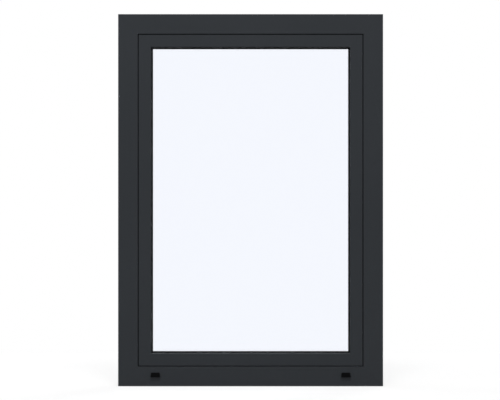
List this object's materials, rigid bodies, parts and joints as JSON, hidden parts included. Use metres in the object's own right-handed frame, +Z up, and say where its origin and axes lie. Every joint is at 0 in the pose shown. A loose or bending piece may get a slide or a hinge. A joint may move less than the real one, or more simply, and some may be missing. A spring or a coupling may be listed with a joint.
{
  "type": "tilt and turn window",
  "caption": "Tilt and turn window in anthracite coated aluminium: mitred frame, flush sash with a sealed glass unit, black gaskets, inside handle and hinges, drain caps on the sill.",
  "frame": {"origin": "sill's underside, halfway along its length and in the middle of its inside half, on the line of the jamb fixings", "axes": "+X to the right seen from outside, +Y from the outside to the inside, +Z up"},
  "size_m": [0.89, 0.145, 1.25],
  "materials": {
    "frame_coating": "satin",
    "sash_coating": "satin",
    "bead_coating": "satin",
    "polyamide": "matte",
    "gasket_rubber": "matte",
    "glass": "polished",
    "spacer": "matte",
    "handle_finish": "satin",
    "hinge_finish": "satin",
    "pin_steel": "satin",
    "cap_plastic": "matte",
    "block_plastic": "matte"
  },
  "bodies": {
    "root": {"frame_head": "frame_coating", "frame_head_thermal_break": "polyamide", "frame_sill": "frame_coating", "frame_sill_thermal_break": "polyamide", "frame_left_jamb": "frame_coating", "frame_left_jamb_thermal_break": "polyamide", "frame_right_jamb": "frame_coating", "frame_right_jamb_thermal_break": "polyamide", "sash_top_rail": "sash_coating", "sash_top_rail_thermal_break": "polyamide", "sash_bottom_rail": "sash_coating", "sash_bottom_rail_thermal_break": "polyamide", "sash_left_stile": "sash_coating", "sash_left_stile_thermal_break": "polyamide", "sash_right_stile": "sash_coating", "sash_right_stile_thermal_break": "polyamide", "glazing_bead_top": "bead_coating", "glazing_bead_bottom": "bead_coating", "glazing_bead_left": "bead_coating", "glazing_bead_right": "bead_coating", "outer_pane": "glass", "inner_pane": "glass", "glazing_spacer": "spacer", "outer_glazing_gasket": "gasket_rubber", "inner_glazing_gasket": "gasket_rubber", "centre_gasket": "gasket_rubber", "stop_gasket": "gasket_rubber", "handle_rosette": "handle_finish", "handle_lever": "handle_finish", "top_hinge_frame_leaf": "hinge_finish", "top_hinge_sash_leaf": "hinge_finish", "bottom_hinge_frame_leaf": "hinge_finish", "bottom_hinge_sash_leaf": "hinge_finish", "top_hinge_pin": "pin_steel", "setting_block_left": "block_plastic", "setting_block_right": "block_plastic", "drain_cap_left": "cap_plastic", "drain_cap_right": "cap_plastic"}
  },
  "joints": []
}
